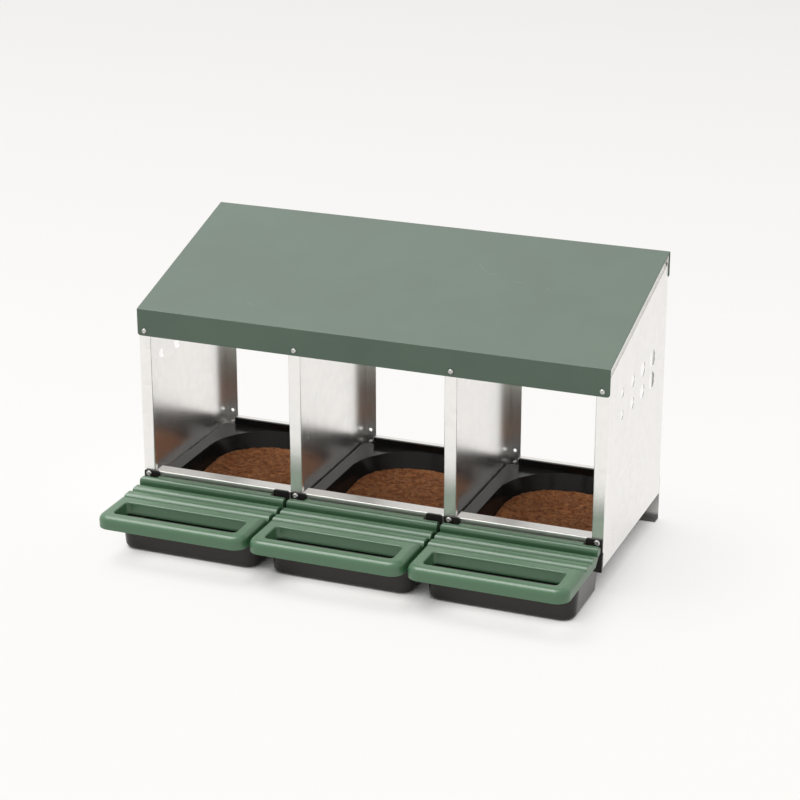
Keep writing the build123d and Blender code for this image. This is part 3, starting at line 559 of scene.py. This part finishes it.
def moulded_plastic(name, body, lit, rubbed, roughness, gloss, dust_and_light, plastic):
    """Grained plastic, made lighter in front of the uprights as painted light, rubbed at its edges, and
    with dust and painted light from above on its upper faces.
    """
    material, tree, shader, place = start_material(name)
    facing = tree.nodes.new("ShaderNodeTexCoord").outputs["Normal"]
    grain = use_effect(tree, "Fine grain", {"Place": place, "Size": plastic.grain})
    cloud = use_effect(tree, "Fine grain", {"Place": place, "Size": PLASTIC_CLOUD})
    dust = use_effect(tree, "Dust and top light", {"Place": place, "Facing": facing, "Breakup": DUST_LIGHT_PATCH})
    edges = use_effect(tree, "Edge wear and highlight", {"Place": place, "Radius": 1.1 * MM, "Breakup": 16 * MM})
    dark, light = shaded(body, PLASTIC_DARK), shaded(body, PLASTIC_LIGHT)
    tint = mix_colours(tree, spread(tree, cloud["Height"], 0.0, 1.0), dark, light)
    along = add_node(tree, "SeparateXYZ", {"Vector": place}).outputs["Y"]
    # Painted light: lighter in front of the uprights than in the shade of the box.
    outside = remap(tree, along, SHADED, SUNLIT, 0.0, LIT_MOST)
    tint = mix_colours(tree, outside, tint, tuple(lit))
    # Dust, and painted light from above, on the upper faces.
    dusted_and_lit = mix_colours(tree, part_of(tree, dust["Mask"], dust_and_light), tint, tuple(plastic.dust))
    lightened = part_of(tree, edges["Mask"], PLASTIC_WORN)
    tree.links.new(mix_colours(tree, lightened, dusted_and_lit, tuple(rubbed)), shader.inputs["Base Color"])
    shader.inputs["Specular IOR Level"].default_value = gloss
    smoothest, roughest = roughness - PLASTIC_SMOOTHER, roughness + PLASTIC_ROUGHER
    patchy = spread(tree, cloud["Height"], smoothest, roughest)
    tree.links.new(patchy, shader.inputs["Roughness"])
    link_normal(
        tree, shader, grain["Height"], strength=0.05, distance=0.06 * MM, normal=edges["Normal"]
    )
    return material


def clump_shade(tree, place, coir):
    """Paler and darker clumps of fibre, about 0."""
    clump = use_effect(tree, "Fine grain", {"Place": place, "Size": coir.clump})
    return spread(tree, clump["Height"], -CLUMP_SHADE, CLUMP_SHADE)


def coir_felt(coir):
    """Matted fibre: streaks that cross in three directions over dark gaps."""
    material, tree, shader, place = start_material("Coir felt")
    height = None
    for turn in FELT_TURNS:
        laid = add_node(tree, "Mapping", {"Vector": place, "Rotation": (0.0, 0.0, math.radians(turn))})
        drawn = add_node(tree, "Mapping", {"Vector": laid.outputs[0], "Scale": FELT_DRAWN})
        streak = add_node(tree, "TexNoise", {"Vector": drawn.outputs[0], "Scale": 1.0, "Detail": 2.0})
        value = streak.outputs["Fac"]
        height = value if height is None else calculate(tree, "MAXIMUM", height, value)
    matted = remap(tree, height, FELT_GAP, FELT_FULL, 0.0, 1.0)
    shade = calculate(tree, "ADD", matted, clump_shade(tree, place, coir))
    tint = mix_colours(tree, shade, tuple(coir.bark), tuple(coir.husk))
    tree.links.new(tint, shader.inputs["Base Color"])
    shader.inputs["Roughness"].default_value = 0.85
    shader.inputs["Specular IOR Level"].default_value = 0.2
    link_normal(tree, shader, height, strength=0.8, distance=0.9 * MM)
    return material


def coir_fibre(coir):
    """Single fibres, each with its own shade."""
    material, tree, shader, place = start_material("Coir fibre")
    island = tree.nodes.new("ShaderNodeNewGeometry").outputs["Random Per Island"]
    own = remap(tree, island, 0.0, 1.0, FIBRE_SHADE, 1.0)
    shade = calculate(tree, "ADD", own, clump_shade(tree, place, coir))
    tint = mix_colours(tree, shade, tuple(coir.bark), tuple(coir.straw))
    tree.links.new(tint, shader.inputs["Base Color"])
    shader.inputs["Roughness"].default_value = 0.6
    return material


def dress_node(name, material):
    """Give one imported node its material."""
    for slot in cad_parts[name].material_slots:
        slot.material = material


def dress(finish, material):
    """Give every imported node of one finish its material."""
    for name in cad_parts:
        if FINISH_OF[name] == finish:
            dress_node(name, material)


def link_object(name, mesh, material):
    """Put a new mesh in the scene."""
    mesh.materials.clear()
    mesh.materials.append(material)
    piece = bpy.data.objects.new(name, mesh)
    bpy.context.scene.collection.objects.link(piece)
    return piece


# Coir pads


def from_edge(low, high, spot):
    """Depth of a spot inside a pad's round rear edge, the way out to it, and how far that points aside."""
    half = (high[0] - low[0]) / 2
    way = Vector((spot.x - low[0] - half, max(0.0, spot.y - high[1] + half), 0.0))
    reach = way.length
    return half - reach, way.normalized(), (way.x / max(reach, 1e-9)) ** 2


def ease(value, reach):
    """Smooth step from 0 to 1 over a reach."""
    done = max(0.0, min(1.0, value / reach))
    return done * done * (3.0 - 2.0 * done)


def even_mesh(node_name, voxel):
    """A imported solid's shape as a mesh of even faces."""
    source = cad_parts[node_name]
    copy = bpy.data.objects.new(node_name + "_shape", source.data.copy())
    bpy.context.scene.collection.objects.link(copy)
    remesh = copy.modifiers.new("Even mesh", "REMESH")
    remesh.mode = "VOXEL"
    remesh.voxel_size = voxel
    even = copy.evaluated_get(bpy.context.evaluated_depsgraph_get())
    mesh = bpy.data.meshes.new_from_object(even)
    bpy.data.objects.remove(copy)
    return mesh


def felt_mesh(node_name, coir, phase):
    """The pad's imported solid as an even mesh, its edge raised, uneven like matted fibre."""
    mesh = even_mesh(node_name, coir.voxel)
    offset = Vector((phase, phase * PAD_SKEW, 0.0))
    shape = bmesh.new()
    shape.from_mesh(mesh)
    shape.normal_update()
    low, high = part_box(node_name)
    moves = []
    for vertex in shape.verts:
        spot = vertex.co + offset
        lump = sum(noise.noise(spot * count) * part for count, part in LUMPS)
        upper = max(0.0, min(1.0, vertex.normal.z * UPPER_SLOPE + UPPER_START))
        depth, way, sideways = from_edge(low, high, vertex.co)
        near = (1.0 - ease(depth, CLIMB_BAND)) * ease(vertex.co.y - low[1], CLIMB_START) * upper
        climb = coir.climb * (CLIMB_REAR + (1.0 - CLIMB_REAR) * sideways) * near
        tuft = vertex.normal * (lump * coir.tuft * upper)
        moves.append(tuft + Vector((0.0, 0.0, climb)) + way * (CLIMB_OUT * climb))
    for vertex, move in zip(shape.verts, moves):
        vertex.co += move
    for face in shape.faces:
        face.smooth = True
    shape.to_mesh(mesh)
    shape.free()
    return mesh


def fibre_path(tree, start, normal, draws, coir):
    """Points of one loose fibre that lies on the felt and lifts a little at its ends."""
    steps = FIBRE_POINTS - 1
    reach = coir.fibre_length * draws.uniform(FIBRE_SHORT, 1.0)
    turn = draws.uniform(0.0, 2.0 * math.pi)
    heading = normal.orthogonal().normalized()
    heading.rotate(Matrix.Rotation(turn, 3, normal))
    curl = draws.uniform(-FIBRE_CURL, FIBRE_CURL)
    points = []
    spot = start.copy()
    lifts = (draws.uniform(0.0, FIBRE_LIFT), draws.uniform(0.0, FIBRE_LIFT))
    for i in range(FIBRE_POINTS):
        near, facing, _, _ = tree.find_nearest(spot)
        along = i / steps
        lift = lifts[0] * (1.0 - along) ** 3 + lifts[1] * along ** 3
        points.append((near + facing * (coir.fibre_radius * FIBRE_SIT + lift * MM), facing))
        heading = (heading - facing * heading.dot(facing)).normalized()
        bend = curl + draws.uniform(-FIBRE_KINK, FIBRE_KINK)
        heading.rotate(Matrix.Rotation(bend, 3, facing))
        spot = near + heading * (reach / steps)
    return points


def fibre_mesh(name, felt, coir, draws):
    """Loose fibres over the upper side of a pad, as thin three-sided strands."""
    tree = BVHTree.FromPolygons([v.co for v in felt.vertices], [p.vertices for p in felt.polygons])
    upper = [face for face in felt.polygons if face.normal.z > UPPER_FACE]
    picks = draws.choices(upper, weights=[face.area for face in upper], k=coir.fibres)
    sides = FIBRE_SIDES
    verts, faces = [], []
    for face in picks:
        path = fibre_path(tree, face.center.copy(), face.normal.copy(), draws, coir)
        radius = coir.fibre_radius * draws.uniform(FIBRE_THIN, FIBRE_THICK)
        base = len(verts)
        tip = len(path) - 1
        for i, (point, facing) in enumerate(path):
            ahead = path[min(i + 1, tip)][0] - path[max(i - 1, 0)][0]
            across = ahead.cross(facing).normalized()
            taper = FIBRE_TIP if i in (0, tip) else 1.0
            for k in range(sides):
                round_by = 2.0 * math.pi * k / sides
                aside = across * math.cos(round_by) + facing * math.sin(round_by)
                verts.append(point + aside * radius * taper)
        for i in range(tip):
            for k in range(sides):
                a = base + i * sides + k
                b = base + i * sides + (k + 1) % sides
                faces.append((a, b, b + sides, a + sides))
        last = base + tip * sides
        faces.append((base, base + 2, base + 1))
        faces.append((last, last + 1, last + 2))
    mesh = bpy.data.meshes.new(name)
    mesh.from_pydata(verts, [], faces)
    mesh.shade_smooth()
    return mesh


# Stage


def sees_backdrop(tree):
    """1 for the rays that show the backdrop itself: camera, mirror and glass rays."""
    rays = tree.nodes.new("ShaderNodeLightPath").outputs
    shown = calculate(tree, "MAXIMUM", rays["Is Camera Ray"], rays["Is Glossy Ray"])
    return calculate(tree, "MAXIMUM", shown, rays["Is Transmission Ray"])


def lay_floor(studio):
    """A wide pale floor whose glow greys a little into the distance, a painted falloff of light, and which
    keeps the box's soft shadow.
    """
    mesh = bpy.data.meshes.new("floor")
    signs = ((-1, -1), (1, -1), (1, 1), (-1, 1))
    corners = [(FLOOR_REACH * x, FLOOR_REACH * y, 0.0) for x, y in signs]
    mesh.from_pydata(corners, [], [(0, 1, 2, 3)])
    material, tree, shader, place = start_material("Studio floor")
    shader.inputs["Base Color"].default_value = studio.floor
    shader.inputs["Roughness"].default_value = 0.9
    shader.inputs["Specular IOR Level"].default_value = 0.1
    away = add_node(tree, "SeparateXYZ", {"Vector": place}).outputs["Y"]
    strength = remap(tree, away, FLOOR_NEAR, FLOOR_FAR, 1.0, FLOOR_GREY)
    white = add_node(tree, "Emission", {"Color": tuple(studio.floor), "Strength": strength})
    clear = add_node(tree, "AmbientOcclusion", {"Distance": SHADOW_REACH}, samples=SHADOW_SAMPLES)
    open_fill = remap(tree, clear.outputs["AO"], SHADOW_DEEP, SHADOW_CLEAR, 0.0, studio.shadow_fill)
    fill = calculate(tree, "MULTIPLY", sees_backdrop(tree), open_fill)
    blend = add_node(tree, "MixShader", {0: fill, 1: shader.outputs[0], 2: white.outputs[0]})
    tree.links.new(blend.outputs[0], tree.nodes["Material Output"].inputs["Surface"])
    floor = link_object("floor", mesh, material)


def light_world(scene, studio):
    """Even light from all round; the rays that see it directly find a pale backdrop."""
    world = bpy.data.worlds.new("Studio")
    scene.world = world
    world.use_nodes = True
    tree = world.node_tree
    background = tree.nodes["Background"]
    background.inputs["Color"].default_value = studio.floor
    strength = remap(tree, sees_backdrop(tree), 0.0, 1.0, studio.sky_level, 1.0)
    tree.links.new(strength, background.inputs["Strength"])


def hang_lamps(studio):
    """A soft key overhead for the rounded edges, and a broad lamp behind, which the roof reflects."""
    for name, energy, degrees, heading in (
        ("Key", studio.key_level, KEY_SPREAD, KEY_HEADING),
        ("Sheen", studio.sheen_level, SHEEN_SPREAD, SHEEN_HEADING),
    ):
        light = bpy.data.lights.new(name, "SUN")
        light.energy = energy
        light.angle = math.radians(degrees)
        lamp = bpy.data.objects.new(name, light)
        lamp.rotation_euler = Vector(heading).to_track_quat("-Z", "Y").to_euler()
        bpy.context.scene.collection.objects.link(lamp)


def stand_camera(scene, studio):
    """The camera at the photograph's angle."""
    camera = bpy.data.cameras.new("Camera")
    camera.lens = studio.lens
    camera.sensor_width = SENSOR_WIDTH
    camera.clip_end = SIGHT
    stand = bpy.data.objects.new("Camera", camera)
    stand.location = studio.camera_place
    stand.rotation_euler = (math.pi / 2 - studio.camera_drop, 0.0, studio.camera_turn)
    scene.collection.objects.link(stand)
    scene.camera = stand


# Steps


class NESTBOX_OT_sheet_steel(bpy.types.Operator):
    """Give the uprights their galvanised finish, and the sills and the rear channel a darker copy of it as
    painted shade
    """

    bl_idname = "nestbox.sheet_steel"
    bl_label = "Galvanised Sheet"

    def execute(self, context):
        steel = context.scene.nest_box.steel
        rough = steel.roughness
        sheet = galvanised_sheet("Galvanised sheet", steel.zinc, steel.dull, rough, steel)
        # Painted shade: the sills get a darker copy of the zinc, which tones down the lamps' reflection on
        # their level tops.
        dimmed_zinc = galvanised_sheet(
            "Dimmed sheet", steel.dimmed_zinc, steel.dull, rough + SILL_ROUGH, steel
        )
        # Painted shade: the rear channel gets the duller zinc as its colour, which tones down the lamps'
        # reflection on its level top.
        channel = galvanised_sheet(
            "Channel sheet", steel.dull, steel.dimmed_zinc, rough + CHANNEL_ROUGH, steel
        )
        dress("galvanised", sheet)
        for place in PLACES:
            dress_node(f"front_sill_{place}", dimmed_zinc)
        dress_node("rear_channel", channel)
        return {"FINISHED"}


class NESTBOX_OT_fasteners(bpy.types.Operator):
    """Give the screws, bolts, nuts, rivets and hinge rods their plated finish"""

    bl_idname = "nestbox.fasteners"
    bl_label = "Fasteners"

    def execute(self, context):
        dress("zinc", zinc_plate(context.scene.nest_box.steel))
        return {"FINISHED"}


class NESTBOX_OT_roof(bpy.types.Operator):
    """Paint the roof"""

    bl_idname = "nestbox.roof"
    bl_label = "Painted Roof"

    def execute(self, context):
        dress("roof_paint", roof_paint(context.scene.nest_box.paint))
        return {"FINISHED"}


class NESTBOX_OT_perch_lids(bpy.types.Operator):
    """Give the perch lids their green moulded finish"""

    bl_idname = "nestbox.perch_lids"
    bl_label = "Perch Lids"

    def execute(self, context):
        plastic = context.scene.nest_box.plastic
        material = moulded_plastic(
            "Lid plastic",
            plastic.lid,
            plastic.lid,
            plastic.rubbed,
            plastic.lid_roughness,
            plastic.lid_gloss,
            plastic.lid_dust_light,
            plastic,
        )
        dress("lid_plastic", material)
        return {"FINISHED"}


class NESTBOX_OT_nest_trays(bpy.types.Operator):
    """Give the nest trays their dark moulded finish"""

    bl_idname = "nestbox.nest_trays"
    bl_label = "Nest Trays"

    def execute(self, context):
        plastic = context.scene.nest_box.plastic
        material = moulded_plastic(
            "Tray plastic",
            plastic.tray,
            plastic.lit,
            plastic.scuffed,
            plastic.tray_roughness,
            plastic.tray_gloss,
            plastic.tray_dust_light,
            plastic,
        )
        dress("tray_plastic", material)
        return {"FINISHED"}


class NESTBOX_OT_coir_pads(bpy.types.Operator):
    """Make the matted coir pads and their loose fibres in place of the plain solids"""

    bl_idname = "nestbox.coir_pads"
    bl_label = "Coir Pads"

    def execute(self, context):
        coir = context.scene.nest_box.coir
        felt_finish = coir_felt(coir)
        fibre_finish = coir_fibre(coir)
        draws = random.Random(coir.seed)
        for place in PLACES:
            node_name = f"nest_pad_{place}"
            felt = felt_mesh(node_name, coir, float(place))
            fibres = fibre_mesh(f"pad_fibres_{place}", felt, coir, draws)
            pad = link_object(f"coir_pad_{place}", felt, felt_finish)
            loose = link_object(f"pad_fibres_{place}", fibres, fibre_finish)
            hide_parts(node_name)
            for piece in (pad, loose):
                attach(piece, "frame")
        return {"FINISHED"}


class NESTBOX_OT_studio(bpy.types.Operator):
    """Set up the pale floor, the soft lamps and the camera"""

    bl_idname = "nestbox.studio"
    bl_label = "Studio"

    def execute(self, context):
        studio = context.scene.nest_box.studio
        context.scene.view_settings.view_transform = "Standard"
        lay_floor(studio)
        light_world(context.scene, studio)
        hang_lamps(studio)
        stand_camera(context.scene, studio)
        return {"FINISHED"}


class NESTBOX_PT_sidebar(bpy.types.Panel):
    """Sizes, colours and steps of the nest box"""

    bl_idname = "NESTBOX_PT_sidebar"
    bl_label = "Nest Box"
    bl_space_type = "VIEW_3D"
    bl_region_type = "UI"
    bl_category = "Nest Box"

    def draw(self, context):
        settings = context.scene.nest_box
        for operator, group in STEPS:
            box = self.layout.box()
            box.operator(operator.bl_idname)
            values = getattr(settings, group)
            for key in values.bl_rna.properties.keys():
                if key not in ("rna_type", "name"):
                    box.prop(values, key)


STEPS = (
    (NESTBOX_OT_sheet_steel, "steel"),
    (NESTBOX_OT_fasteners, "steel"),
    (NESTBOX_OT_roof, "paint"),
    (NESTBOX_OT_perch_lids, "plastic"),
    (NESTBOX_OT_nest_trays, "plastic"),
    (NESTBOX_OT_coir_pads, "coir"),
    (NESTBOX_OT_studio, "studio"),
)
EFFECTS = (
    make_grain_effect,
    make_spangle_effect,
    make_edge_effect,
    make_dust_and_top_light_effect,
    make_scratch_effect,
)
GROUPS = (NestBoxSteel, NestBoxPaint, NestBoxPlastic, NestBoxCoir, NestBoxStudio, NestBoxSettings)
CLASSES = GROUPS + tuple(operator for operator, group in STEPS) + (NESTBOX_PT_sidebar,)


def register():
    for item in CLASSES:
        bpy.utils.register_class(item)
    bpy.types.Scene.nest_box = bpy.props.PointerProperty(type=NestBoxSettings)


def unregister():
    del bpy.types.Scene.nest_box
    for item in reversed(CLASSES):
        bpy.utils.unregister_class(item)


def main():
    register()
    for make_effect in EFFECTS:
        make_effect()
    bpy.ops.nestbox.sheet_steel()
    bpy.ops.nestbox.fasteners()
    bpy.ops.nestbox.roof()
    bpy.ops.nestbox.perch_lids()
    bpy.ops.nestbox.nest_trays()
    bpy.ops.nestbox.coir_pads()
    bpy.ops.nestbox.studio()


if __name__ == "__main__":
    main()
